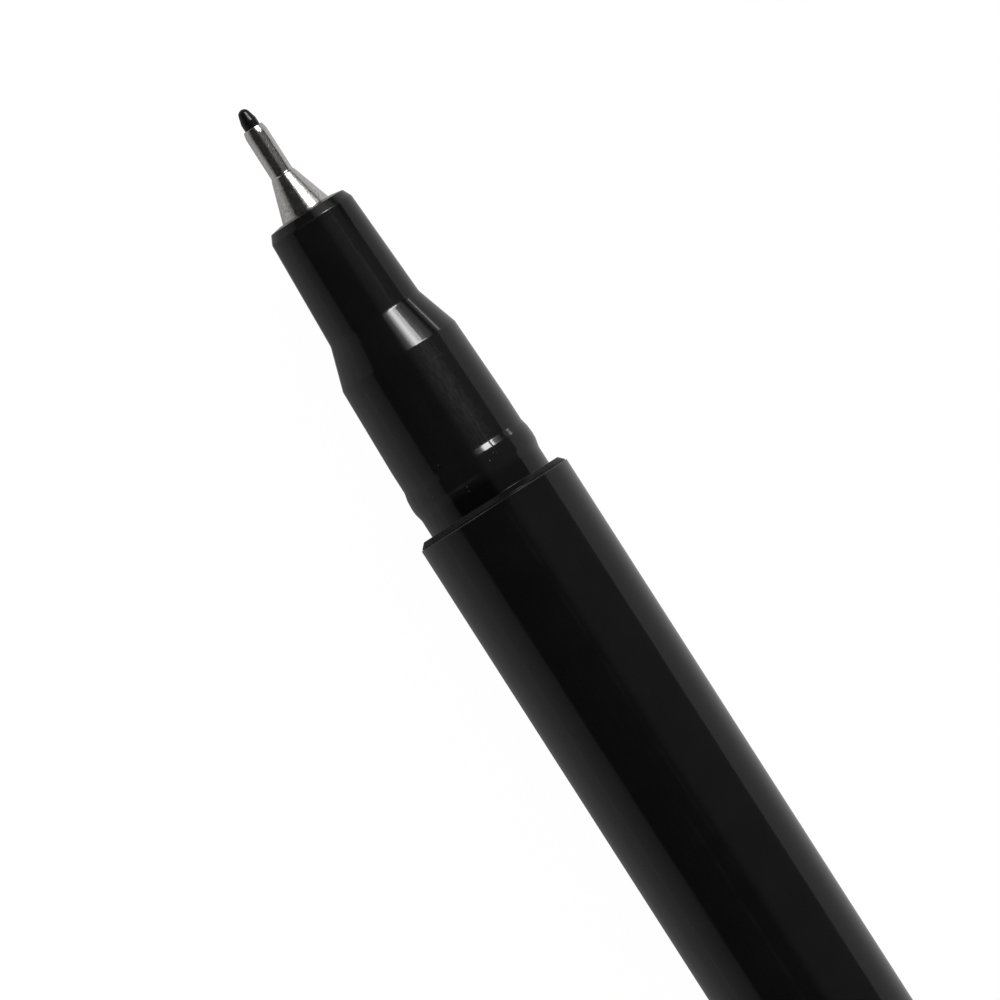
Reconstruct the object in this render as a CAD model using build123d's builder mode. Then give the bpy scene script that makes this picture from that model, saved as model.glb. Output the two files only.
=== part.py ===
from build123d import *
from math import cos, radians, sin, tan
import os

# A capped fineliner pen, open for writing, with its cap pushed on its tail.
# The pen's axis is X and its nib points to +X. The origin is the middle of the barrel, on that axis.
# Z is up as the pen lies on a table, where the cap's clip hangs in front (-Y), low enough to stop it rolling.
# All sizes are in millimetres.

os.makedirs("parts", exist_ok=True)

# Barrel: a straight tube that butts against the nose section's shoulder
BARREL_LENGTH = 84.24
BARREL_DIAMETER = 10.0
BARREL_BORE = 8.1
FRONT_EDGE_ROUNDING = 0.05
TAIL_EDGE = 0.12

# Nose section: places along it are distances ahead of its shoulder's front face
SNOUT_FACE = 19.94
SNOUT_RIM = 19.80
SNOUT_BEVEL_END = 19.26
STEP_FRONT = 12.48
STEP_BACK = 9.87
GRIP_BACK = 4.40
SNOUT_RIM_RADIUS = 2.465
SNOUT_FRONT_RADIUS = 2.735
SNOUT_BACK_RADIUS = 3.04
GRIP_FRONT_RADIUS = 3.865
GRIP_BACK_RADIUS = 4.02
SNOUT_EDGE_ROUNDING = 0.06
STEP_FRONT_ROUNDING = 1.0
STEP_BACK_ROUNDING = 0.35
SHOULDER_FACE_RADIUS = 4.60
SHOULDER_BEVEL = 0.30
SHOULDER_RADIUS = 4.92
SHOULDER_LENGTH = 0.38
SHOULDER_ROUNDING = 0.10
NECK_RADIUS = 4.03
PLUG_RADIUS = 4.02
PLUG_LENGTH = 9.0
PLUG_WALL = 0.95
SNOUT_WALL = 1.1
NIB_GUIDE_THICKNESS = 1.5
SLEEVE_SEAT_DEPTH = 5.92

# Bead that the cap snaps on: a low hump, steeper at its feet than near its crest
BEAD_FRONT = 3.03
BEAD_FRONT_BREAK = 2.53
BEAD_CREST = 1.95
BEAD_BACK_BREAK = 1.60
BEAD_BACK = 1.10
BEAD_FRONT_BREAK_RADIUS = 4.13
BEAD_CREST_RADIUS = 4.168
BEAD_BACK_BREAK_RADIUS = 4.147
BEAD_ROUNDING = 0.8

# Snap rings that lock the nose section and the tail plug into grooves in the barrel's bore
SNAP_INSET = 6.0
SNAP_WIDTH = 1.2
SNAP_HEIGHT = 0.12
SNAP_CLEARANCE = 0.03
VENT_COUNT = 4
VENT_WIDTH = 1.2
VENT_DEPTH = 1.0

# Steel sleeve round the nib: tube, cone and pressed-in shank, drawn from one thin cup
SLEEVE_FRONT = 25.64
SLEEVE_TUBE_RADIUS = 0.706
SLEEVE_LIP_RADIUS = 0.645
SLEEVE_LIP_LENGTH = 0.31
SLEEVE_LIP_EDGE = 0.06
SLEEVE_LIP_ROLL = 2.2
SLEEVE_TUBE_BACK = 22.52
SLEEVE_CONE_FRONT = 22.36
SLEEVE_CONE_RADIUS = 0.778
SLEEVE_CONE_ANGLE = 17.9
SLEEVE_NECK_ROUNDING = 0.25
SLEEVE_SHANK_RADIUS = 1.69
SLEEVE_WALL = 0.19

# Nib: a rod with a rounded, tapered point
NIB_TIP = 26.88
NIB_RADIUS = 0.49
NIB_TIP_RADIUS = 0.36
NIB_TAPER_ANGLE = 15.5
NIB_IN_RESERVOIR = 5.0

# Ink reservoir and its film wrap
RESERVOIR_RADIUS = 3.50
WRAP_THICKNESS = 0.12
WRAP_CLEARANCE = 0.02
END_CLEARANCE = 0.10

# Tail plug: a flange at the barrel's end and the post that carries the cap
FLANGE_THICKNESS = 1.88
FLANGE_ROUNDING = 0.15
POST_LENGTH = 8.5
POST_RADIUS = 4.03
POST_ROUNDING = 0.8
POST_FLOOR = 1.2
POST_WALL = 1.0
FIN_THICKNESS = 0.8
FIN_REACH = 0.5
FIN_DEPTH = 2.0

# Cap: places along it are distances behind its mouth
CAP_GAP = 0.10
CAP_SHELL_LENGTH = 39.0
CAP_BORE = 8.4
CAP_LEAD_IN = 0.25
CAP_RIM_DEPTH = 0.40
CAP_RIM_DROP = 0.35
CAP_RIM_ROUNDING = 0.25
SNAP_RIB_PLACE = 3.4
SNAP_RIB_RADIUS = 4.06
SNAP_RIB_CREST = 0.3
SNAP_RIB_SLOPE = 0.3

# Inner cap: the cup that seals on the snout
INNER_CAP_PLACE = 15.0
INNER_CAP_LENGTH = 14.5
INNER_CAP_RADIUS = 3.6
SOCKET_RADIUS = 3.0
SEAL_LIP_RADIUS = 2.93
SEAL_LIP_LENGTH = 0.6
SOCKET_FLOOR = 1.0
RIB_COUNT = 6
RIB_WIDTH = 0.8
RIB_REACH = 4.15
RIB_ROOT = 0.3
RIB_SETBACK = 2.0

# Crown: the cap's end plug
CROWN_THICKNESS = 2.5
CROWN_ROUNDING = 0.7
SPIGOT_LENGTH = 6.0
SPIGOT_CLEARANCE = 0.02
SPIGOT_WALL = 0.98
SLOT_COUNT = 3
SLOT_CIRCLE_RADIUS = 2.4
SLOT_WIDTH = 0.9
SLOT_SPAN = 50.0

# Clip: a bent strip of spring steel, placed by how far it stands off the pen's axis
CLIP_WIDTH = 3.2
CLIP_THICKNESS = 0.5
CLIP_ROLL = 63.5
CLIP_ROOT_GAP = 0.35
CLIP_BEND_HEIGHT = 6.60
CLIP_BEND_RADIUS = 0.8
CLIP_TAB_DEPTH = 3.4
CLIP_KNUCKLE_PLACE = 8.8
CLIP_KNUCKLE_HEIGHT = 5.32
CLIP_KNUCKLE_RADIUS = 2.5
CLIP_TIP_PLACE = 5.6
CLIP_TIP_HEIGHT = 6.05
CLIP_TIP_ROUNDING = 1.2
NOTCH_DEPTH = 1.0
NOTCH_SIDE_CLEARANCE = 0.12
NOTCH_FLOOR = 3.0

# Derived places along X
barrel_front = BARREL_LENGTH / 2
barrel_tail = -BARREL_LENGTH / 2
shoulder_front = barrel_front + SHOULDER_LENGTH
plug_end = barrel_front - PLUG_LENGTH
tail_plug_end = barrel_tail + PLUG_LENGTH
reservoir_front = plug_end - END_CLEARANCE
reservoir_back = tail_plug_end + FIN_REACH + END_CLEARANCE
nib_back = reservoir_front - NIB_IN_RESERVOIR
flange_back = barrel_tail - FLANGE_THICKNESS
post_end = flange_back - POST_LENGTH
cap_mouth = flange_back - CAP_GAP
shell_end = cap_mouth - CAP_SHELL_LENGTH
crown_end = shell_end - CROWN_THICKNESS

# Derived radii
barrel_radius = BARREL_DIAMETER / 2
bore_radius = BARREL_BORE / 2
plug_bore_radius = PLUG_RADIUS - PLUG_WALL
cap_bore_radius = CAP_BORE / 2
sleeve_seat_radius = SLEEVE_SHANK_RADIUS + SNAP_CLEARANCE / 2
nib_hole_radius = NIB_RADIUS + SNAP_CLEARANCE
sleeve_bore_radius = SLEEVE_TUBE_RADIUS - SLEEVE_WALL

# The plane through the pen's axis and the clip: its local Y points outwards from the axis
clip_outward = Vector(0, -sin(radians(CLIP_ROLL)), -cos(radians(CLIP_ROLL)))
clip_plane = Plane((0, 0, 0), x_dir=(1, 0, 0), z_dir=Vector(1, 0, 0).cross(clip_outward))
opposite_clip = 90 - CLIP_ROLL


def ahead(distance):
    """X of a place on the nose, given as a distance ahead of its shoulder's front face."""
    return shoulder_front + distance


def in_cap(distance):
    """X of a place on the cap, given as a distance behind its mouth."""
    return cap_mouth - distance


# Barrel
snap_groove_places = [barrel_front - SNAP_INSET, barrel_tail + SNAP_INSET]
with BuildPart() as barrel:
    with BuildSketch(Plane.XZ):
        with BuildLine():
            FilletPolyline(
                (barrel_front, bore_radius),
                (barrel_front, barrel_radius),
                (barrel_tail + TAIL_EDGE, barrel_radius),
                (barrel_tail, barrel_radius - TAIL_EDGE),
                (barrel_tail, bore_radius),
                radius=[0, FRONT_EDGE_ROUNDING, 0, 0, 0],
                close=True,
            )
        make_face()
    revolve(axis=Axis.X)
    with BuildSketch(Plane.XZ):
        with Locations(*[(place, bore_radius) for place in snap_groove_places]):
            Rectangle(SNAP_WIDTH + 2 * SNAP_CLEARANCE, 2 * SNAP_HEIGHT)
    revolve(axis=Axis.X, mode=Mode.SUBTRACT)
barrel.part.label = "barrel"
export_step(barrel.part, "parts/barrel.step")

# Nose section
snap_ring_height = SNAP_HEIGHT - SNAP_CLEARANCE + bore_radius - PLUG_RADIUS
sleeve_seat_floor = SNOUT_FACE - SLEEVE_SEAT_DEPTH
guide_back = sleeve_seat_floor - NIB_GUIDE_THICKNESS
with BuildPart() as nose_section:
    with BuildSketch(Plane.XZ):
        with BuildLine():
            FilletPolyline(
                (ahead(SNOUT_FACE), sleeve_seat_radius),
                (ahead(SNOUT_RIM), SNOUT_RIM_RADIUS),
                (ahead(SNOUT_BEVEL_END), SNOUT_FRONT_RADIUS),
                (ahead(STEP_FRONT), SNOUT_BACK_RADIUS),
                (ahead(STEP_BACK), GRIP_FRONT_RADIUS),
                (ahead(GRIP_BACK), GRIP_BACK_RADIUS),
                (ahead(BEAD_FRONT), GRIP_BACK_RADIUS),
                (ahead(BEAD_FRONT_BREAK), BEAD_FRONT_BREAK_RADIUS),
                (ahead(BEAD_CREST), BEAD_CREST_RADIUS),
                (ahead(BEAD_BACK_BREAK), BEAD_BACK_BREAK_RADIUS),
                (ahead(BEAD_BACK), NECK_RADIUS),
                (shoulder_front, NECK_RADIUS),
                (shoulder_front, SHOULDER_FACE_RADIUS),
                (ahead(-SHOULDER_BEVEL), SHOULDER_FACE_RADIUS + SHOULDER_BEVEL),
                (barrel_front, SHOULDER_RADIUS),
                (barrel_front, PLUG_RADIUS),
                (plug_end, PLUG_RADIUS),
                (plug_end, plug_bore_radius),
                (ahead(STEP_BACK), plug_bore_radius - PLUG_WALL / 4),
                (ahead(STEP_FRONT), SNOUT_BACK_RADIUS - SNOUT_WALL),
                (ahead(guide_back), SNOUT_BACK_RADIUS - SNOUT_WALL),
                (ahead(guide_back), nib_hole_radius),
                (ahead(sleeve_seat_floor), nib_hole_radius),
                (ahead(sleeve_seat_floor), sleeve_seat_radius),
                radius=[0, SNOUT_EDGE_ROUNDING, SNOUT_EDGE_ROUNDING, STEP_FRONT_ROUNDING, STEP_BACK_ROUNDING]
                + [0] + [BEAD_ROUNDING] * 5
                + [0, 0, SHOULDER_ROUNDING]
                + [0] * 10,
                close=True,
            )
        make_face()
    revolve(axis=Axis.X)
    with BuildSketch(Plane.XZ):
        with Locations((barrel_front - SNAP_INSET, PLUG_RADIUS)):
            Rectangle(SNAP_WIDTH, 2 * snap_ring_height)
    revolve(axis=Axis.X)
    with BuildSketch(Plane.YZ.offset(plug_end)):
        with PolarLocations(PLUG_RADIUS - PLUG_WALL / 2, VENT_COUNT):
            Rectangle(2 * PLUG_WALL, VENT_WIDTH)
    extrude(amount=VENT_DEPTH, mode=Mode.SUBTRACT)
nose_section.part.label = "nose_section"
export_step(nose_section.part, "parts/nose_section.step")

# Nib sleeve
cone_slope = tan(radians(SLEEVE_CONE_ANGLE))
shank_front = SLEEVE_CONE_FRONT - (SLEEVE_SHANK_RADIUS - SLEEVE_CONE_RADIUS) / cone_slope
shank_back = sleeve_seat_floor + SNAP_CLEARANCE
shank_bore_radius = SLEEVE_SHANK_RADIUS - SLEEVE_WALL
with BuildPart() as nib_sleeve:
    with BuildSketch(Plane.XZ):
        with BuildLine():
            FilletPolyline(
                (ahead(SLEEVE_FRONT), sleeve_bore_radius),
                (ahead(SLEEVE_FRONT), SLEEVE_LIP_RADIUS),
                (ahead(SLEEVE_FRONT - SLEEVE_LIP_LENGTH), SLEEVE_TUBE_RADIUS),
                (ahead(SLEEVE_TUBE_BACK), SLEEVE_TUBE_RADIUS),
                (ahead(SLEEVE_CONE_FRONT), SLEEVE_CONE_RADIUS),
                (ahead(shank_front), SLEEVE_SHANK_RADIUS),
                (ahead(shank_back), SLEEVE_SHANK_RADIUS),
                (ahead(shank_back), shank_bore_radius),
                (ahead(shank_front), shank_bore_radius),
                (ahead(SLEEVE_TUBE_BACK), sleeve_bore_radius),
                radius=[0, SLEEVE_LIP_EDGE, SLEEVE_LIP_ROLL, SLEEVE_NECK_ROUNDING, SLEEVE_NECK_ROUNDING]
                + [0] * 5,
                close=True,
            )
        make_face()
    revolve(axis=Axis.X)
nib_sleeve.part.label = "nib_sleeve"
export_step(nib_sleeve.part, "parts/nib_sleeve.step")

# Nib
taper_angle = radians(NIB_TAPER_ANGLE)
tip_centre = ahead(NIB_TIP) - NIB_TIP_RADIUS
tip_shoulder = (tip_centre + NIB_TIP_RADIUS * sin(taper_angle), NIB_TIP_RADIUS * cos(taper_angle))
taper_length = (NIB_RADIUS - tip_shoulder[1]) / tan(taper_angle)
tip_mid_angle = radians(45 + NIB_TAPER_ANGLE / 2)
tip_midpoint = (
    tip_centre + NIB_TIP_RADIUS * sin(tip_mid_angle),
    NIB_TIP_RADIUS * cos(tip_mid_angle),
)
with BuildPart() as nib:
    with BuildSketch(Plane.XZ):
        with BuildLine():
            ThreePointArc((ahead(NIB_TIP), 0), tip_midpoint, tip_shoulder)
            Polyline(
                tip_shoulder,
                (tip_shoulder[0] - taper_length, NIB_RADIUS),
                (nib_back, NIB_RADIUS),
                (nib_back, 0),
                (ahead(NIB_TIP), 0),
            )
        make_face()
    revolve(axis=Axis.X)
nib.part.label = "nib"
export_step(nib.part, "parts/nib.step")

# Ink reservoir
with BuildPart() as ink_reservoir:
    with BuildSketch(Plane.YZ.offset(reservoir_back)):
        Circle(RESERVOIR_RADIUS)
    extrude(amount=reservoir_front - reservoir_back)
    with BuildSketch(Plane.YZ.offset(nib_back - END_CLEARANCE)):
        Circle(nib_hole_radius)
    extrude(amount=NIB_IN_RESERVOIR + END_CLEARANCE, mode=Mode.SUBTRACT)
ink_reservoir.part.label = "ink_reservoir"
export_step(ink_reservoir.part, "parts/ink_reservoir.step")

# Reservoir wrap
wrap_bore_radius = RESERVOIR_RADIUS + WRAP_CLEARANCE
with BuildPart() as reservoir_wrap:
    with BuildSketch(Plane.YZ.offset(reservoir_back)):
        Circle(wrap_bore_radius + WRAP_THICKNESS)
        Circle(wrap_bore_radius, mode=Mode.SUBTRACT)
    extrude(amount=reservoir_front - reservoir_back)
reservoir_wrap.part.label = "reservoir_wrap"
export_step(reservoir_wrap.part, "parts/reservoir_wrap.step")

# Tail plug
post_bore_radius = POST_RADIUS - POST_WALL
with BuildPart() as tail_plug:
    with BuildSketch(Plane.XZ):
        with BuildLine():
            FilletPolyline(
                (tail_plug_end, plug_bore_radius),
                (tail_plug_end, PLUG_RADIUS),
                (barrel_tail, PLUG_RADIUS),
                (barrel_tail, barrel_radius),
                (flange_back, barrel_radius),
                (flange_back, POST_RADIUS),
                (post_end, POST_RADIUS),
                (post_end, 0),
                (post_end + POST_FLOOR, 0),
                (post_end + POST_FLOOR, post_bore_radius),
                (flange_back, post_bore_radius),
                radius=[0, 0, 0, FLANGE_ROUNDING, FLANGE_ROUNDING, 0, POST_ROUNDING, 0, 0, 0, 0],
                close=True,
            )
        make_face()
    revolve(axis=Axis.X)
    with BuildSketch(Plane.XZ):
        with Locations((barrel_tail + SNAP_INSET, PLUG_RADIUS)):
            Rectangle(SNAP_WIDTH, 2 * snap_ring_height)
    revolve(axis=Axis.X)
    with BuildSketch(Plane.YZ.offset(tail_plug_end + FIN_REACH)):
        with PolarLocations(0, 2, angular_range=180):
            Rectangle(2 * plug_bore_radius + PLUG_WALL / 2, FIN_THICKNESS)
    extrude(amount=-(PLUG_LENGTH + FIN_REACH + FIN_DEPTH))
tail_plug.part.label = "tail_plug"
export_step(tail_plug.part, "parts/tail_plug.step")

# Cap shell
rib_foot = SNAP_RIB_CREST / 2 + SNAP_RIB_SLOPE
with BuildPart() as cap_shell:
    with BuildSketch(Plane.XZ):
        with BuildLine():
            FilletPolyline(
                (cap_mouth, cap_bore_radius + CAP_LEAD_IN),
                (cap_mouth, barrel_radius - CAP_RIM_DROP),
                (in_cap(CAP_RIM_DEPTH), barrel_radius),
                (shell_end, barrel_radius),
                (shell_end, cap_bore_radius),
                (in_cap(SNAP_RIB_PLACE + rib_foot), cap_bore_radius),
                (in_cap(SNAP_RIB_PLACE + SNAP_RIB_CREST / 2), SNAP_RIB_RADIUS),
                (in_cap(SNAP_RIB_PLACE - SNAP_RIB_CREST / 2), SNAP_RIB_RADIUS),
                (in_cap(SNAP_RIB_PLACE - rib_foot), cap_bore_radius),
                (in_cap(CAP_LEAD_IN), cap_bore_radius),
                radius=[0, 0, CAP_RIM_ROUNDING] + [0] * 7,
                close=True,
            )
        make_face()
    revolve(axis=Axis.X)
    with BuildSketch(clip_plane):
        with Locations((shell_end, NOTCH_FLOOR)):
            Rectangle(NOTCH_DEPTH, barrel_radius, align=(Align.MIN, Align.MIN))
    extrude(amount=CLIP_WIDTH / 2 + NOTCH_SIDE_CLEARANCE, both=True, mode=Mode.SUBTRACT)
cap_shell.part.label = "cap_shell"
export_step(cap_shell.part, "parts/cap_shell.step")

# Inner cap
inner_cap_back = INNER_CAP_PLACE + INNER_CAP_LENGTH
rib_length = INNER_CAP_LENGTH - RIB_SETBACK
with BuildPart() as inner_cap:
    with BuildSketch(Plane.XZ):
        with BuildLine():
            Polyline(
                (in_cap(INNER_CAP_PLACE), SEAL_LIP_RADIUS),
                (in_cap(INNER_CAP_PLACE), INNER_CAP_RADIUS),
                (in_cap(inner_cap_back), INNER_CAP_RADIUS),
                (in_cap(inner_cap_back), 0),
                (in_cap(inner_cap_back - SOCKET_FLOOR), 0),
                (in_cap(inner_cap_back - SOCKET_FLOOR), SOCKET_RADIUS),
                (in_cap(INNER_CAP_PLACE + 2 * SEAL_LIP_LENGTH), SOCKET_RADIUS),
                (in_cap(INNER_CAP_PLACE + SEAL_LIP_LENGTH), SEAL_LIP_RADIUS),
                close=True,
            )
        make_face()
    revolve(axis=Axis.X)
    with BuildSketch(Plane.YZ.offset(in_cap(inner_cap_back))):
        with PolarLocations(RIB_REACH, RIB_COUNT, start_angle=opposite_clip):
            Rectangle(RIB_REACH - SOCKET_RADIUS - RIB_ROOT, RIB_WIDTH, align=(Align.MAX, Align.CENTER))
    extrude(amount=rib_length)
inner_cap.part.label = "inner_cap"
export_step(inner_cap.part, "parts/inner_cap.step")

# Cap crown
spigot_radius = cap_bore_radius - SPIGOT_CLEARANCE
with BuildPart() as cap_crown:
    with BuildSketch(Plane.XZ):
        with BuildLine():
            FilletPolyline(
                (shell_end, 0),
                (shell_end, spigot_radius - SPIGOT_WALL),
                (shell_end + SPIGOT_LENGTH, spigot_radius - SPIGOT_WALL),
                (shell_end + SPIGOT_LENGTH, spigot_radius),
                (shell_end, spigot_radius),
                (shell_end, barrel_radius),
                (crown_end, barrel_radius),
                (crown_end, 0),
                radius=[0, 0, 0, 0, 0, 0, CROWN_ROUNDING, 0],
                close=True,
            )
        make_face()
    revolve(axis=Axis.X)
    with BuildSketch(Plane.YZ.offset(crown_end)):
        for i in range(SLOT_COUNT):
            slot_start = opposite_clip + 360 * i / SLOT_COUNT - SLOT_SPAN / 2
            SlotArc(
                CenterArc((0, 0), SLOT_CIRCLE_RADIUS, slot_start, SLOT_SPAN, mode=Mode.PRIVATE),
                SLOT_WIDTH,
            )
    extrude(amount=CROWN_THICKNESS, mode=Mode.SUBTRACT)
    with BuildSketch(clip_plane):
        with Locations((shell_end, NOTCH_FLOOR)):
            Rectangle(NOTCH_DEPTH, barrel_radius, align=(Align.MIN, Align.MIN))
    extrude(amount=CLIP_WIDTH / 2 + NOTCH_SIDE_CLEARANCE, both=True, mode=Mode.SUBTRACT)
cap_crown.part.label = "cap_crown"
export_step(cap_crown.part, "parts/cap_crown.step")

# Clip
tab_place = shell_end + CLIP_ROOT_GAP
with BuildPart() as clip:
    with BuildLine(clip_plane) as strip_path:
        FilletPolyline(
            (tab_place, CLIP_TAB_DEPTH),
            (tab_place, CLIP_BEND_HEIGHT),
            (in_cap(CLIP_KNUCKLE_PLACE), CLIP_KNUCKLE_HEIGHT),
            (in_cap(CLIP_TIP_PLACE), CLIP_TIP_HEIGHT),
            radius=[CLIP_BEND_RADIUS, CLIP_KNUCKLE_RADIUS],
        )
    with BuildSketch(Plane(strip_path.line @ 0, x_dir=clip_plane.z_dir, z_dir=strip_path.line % 0)):
        Rectangle(CLIP_WIDTH, CLIP_THICKNESS)
    sweep()
    tip_face = clip.faces().filter_by(GeomType.PLANE).sort_by(Axis.X)[-1]
    fillet(tip_face.edges().sort_by(SortBy.LENGTH)[:2], CLIP_TIP_ROUNDING)
clip.part.label = "clip"
export_step(clip.part, "parts/clip.step")
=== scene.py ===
import bmesh
import bpy
from math import cos, pi, radians, sin, sqrt, tan
from mathutils import Matrix, Vector


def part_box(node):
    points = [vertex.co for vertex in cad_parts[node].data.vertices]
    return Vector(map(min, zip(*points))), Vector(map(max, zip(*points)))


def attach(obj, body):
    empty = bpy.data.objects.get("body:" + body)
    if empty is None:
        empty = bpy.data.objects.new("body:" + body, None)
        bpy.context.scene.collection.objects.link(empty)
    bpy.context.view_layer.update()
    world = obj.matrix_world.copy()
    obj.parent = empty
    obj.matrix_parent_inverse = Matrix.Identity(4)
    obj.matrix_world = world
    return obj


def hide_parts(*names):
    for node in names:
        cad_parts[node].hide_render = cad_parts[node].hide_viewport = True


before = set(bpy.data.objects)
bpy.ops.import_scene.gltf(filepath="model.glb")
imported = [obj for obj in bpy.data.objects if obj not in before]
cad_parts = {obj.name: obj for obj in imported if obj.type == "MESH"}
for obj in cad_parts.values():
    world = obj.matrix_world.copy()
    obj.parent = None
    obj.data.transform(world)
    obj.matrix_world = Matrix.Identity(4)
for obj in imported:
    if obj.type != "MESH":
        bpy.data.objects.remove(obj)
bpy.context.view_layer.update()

# Barrel
# The straight tube that holds the ink, moulded in glossy black plastic on a long polished core.
# Its front butts against the nose, and grooves in its bore take the snap rings of nose and tail plug.
MM = 0.001
BARREL_RADIUS = 5.0 * MM
BARREL_BORE_RADIUS = 4.05 * MM
FRONT_EDGE_ROUNDING = 0.012 * MM
EDGE_ROUNDING = 0.03 * MM
TAIL_EDGE = 0.12 * MM
SNAP_INSET = 6.0 * MM
SNAP_HALF_WIDTH = 0.63 * MM
SNAP_GROOVE_DEPTH = 0.12 * MM
SEAM_ANGLE = radians(25.6)
SEAM_WIDTH = 0.008
SEAM_CROWDING = 0.9
CORNER_GUARD = 0.05 * MM
MERGE_DISTANCE = 0.0002 * MM
SLIVER_LENGTH = 0.0001 * MM
FACETING_ANGLE = radians(28)


class Wire:
    """An output socket of a node tree. Arithmetic on wires adds Math nodes to that tree."""

    def __init__(self, tree, socket=None):
        self.tree = tree
        self.socket = socket

    def node(self, kind, settings=None, inputs=None, output=0):
        """Adds a node, its settings first, then the values or links of its sockets. Returns one output."""
        made = self.tree.nodes.new(kind)
        for name, value in (settings or {}).items():
            setattr(made, name, value)
        for place, value in (inputs or {}).items():
            named = [s for s in made.inputs if s.name == place and s.enabled]
            socket = named[0] if named else made.inputs[place]
            if isinstance(value, Wire):
                self.tree.links.new(value.socket, socket)
            else:
                socket.default_value = value
        return Wire(self.tree, made.outputs[output])

    def out(self, name):
        """Another output of the same node."""
        return Wire(self.tree, self.socket.node.outputs[name])

    def math(self, operation, *values):
        return self.node("ShaderNodeMath", {"operation": operation}, dict(enumerate(values)))

    def __add__(self, other):
        return self.math("ADD", self, other)

    def __sub__(self, other):
        return self.math("SUBTRACT", self, other)

    def __rsub__(self, other):
        return self.math("SUBTRACT", other, self)

    def __mul__(self, other):
        return self.math("MULTIPLY", self, other)

    def __truediv__(self, other):
        return self.math("DIVIDE", self, other)

    def __rtruediv__(self, other):
        return self.math("DIVIDE", other, self)

    __radd__ = __add__
    __rmul__ = __mul__

    def rise(self, low, high):
        """0 below low, 1 above high, and a smooth slope between. A high under low falls instead."""
        return self.node(
            "ShaderNodeMapRange",
            {"interpolation_type": "SMOOTHSTEP"},
            {"Value": self, "From Min": low, "From Max": high},
        )

    def bell(self, middle, width):
        """1 at middle, falling away smoothly on both sides over about that width."""
        off = (self - middle) / width
        return self.math("EXPONENT", off * off * -1)

    def noise(self, coordinates, scale, detail=2.0):
        """Smooth noise from 0 to 1 over coordinates."""
        inputs = {"Vector": coordinates, "Scale": scale, "Detail": detail}
        return self.node("ShaderNodeTexNoise", {}, inputs)

    def vector(self, x, y, z):
        return self.node("ShaderNodeCombineXYZ", {}, {0: x, 1: y, 2: z})

    def blend(self, amount, first, second):
        """A colour that goes from first to second as amount goes from 0 to 1."""
        return self.node(
            "ShaderNodeMix",
            {"data_type": "RGBA"},
            {0: amount, 6: first, 7: second},
            2,
        )

    def relief(self, height, depth):
        """Bumps for a shader's normal: a height of 1 stands up by the depth."""
        return self.node("ShaderNodeBump", {}, {"Strength": 1.0, "Distance": depth, "Height": height})


def start_material(name):
    """A new material's shader, and a wire on its tree for adding nodes."""
    material = bpy.data.materials.new(name)
    material.use_nodes = True
    shader = material.node_tree.nodes["Principled BSDF"]
    return material, shader, Wire(material.node_tree)


def feed(shader, **sockets):
    """Sets or links the shader's sockets: base_color sets Base Color."""
    for name, value in sockets.items():
        socket = shader.inputs[name.replace("_", " ").title().replace("Ior", "IOR")]
        if isinstance(value, Wire):
            value.tree.links.new(value.socket, socket)
        else:
            socket.default_value = value


def turned_place(wire):
    """Where a point is on a turned piece: along the axis in mm, round it from the top in radians,
    and how far out in mm."""
    spot = wire.node("ShaderNodeTexCoord", output="Object")
    split = wire.node("ShaderNodeSeparateXYZ", {}, {0: spot})
    along, across, up = split.out("X") * (1 / MM), split.out("Y") * (-1 / MM), split.out("Z") * (1 / MM)
    around = wire.math("ARCTAN2", across, up)
    out = wire.math("SQRT", across * across + up * up)
    return spot, along, around, out


def grey(value):
    return (value, value, value, 1)


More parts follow.
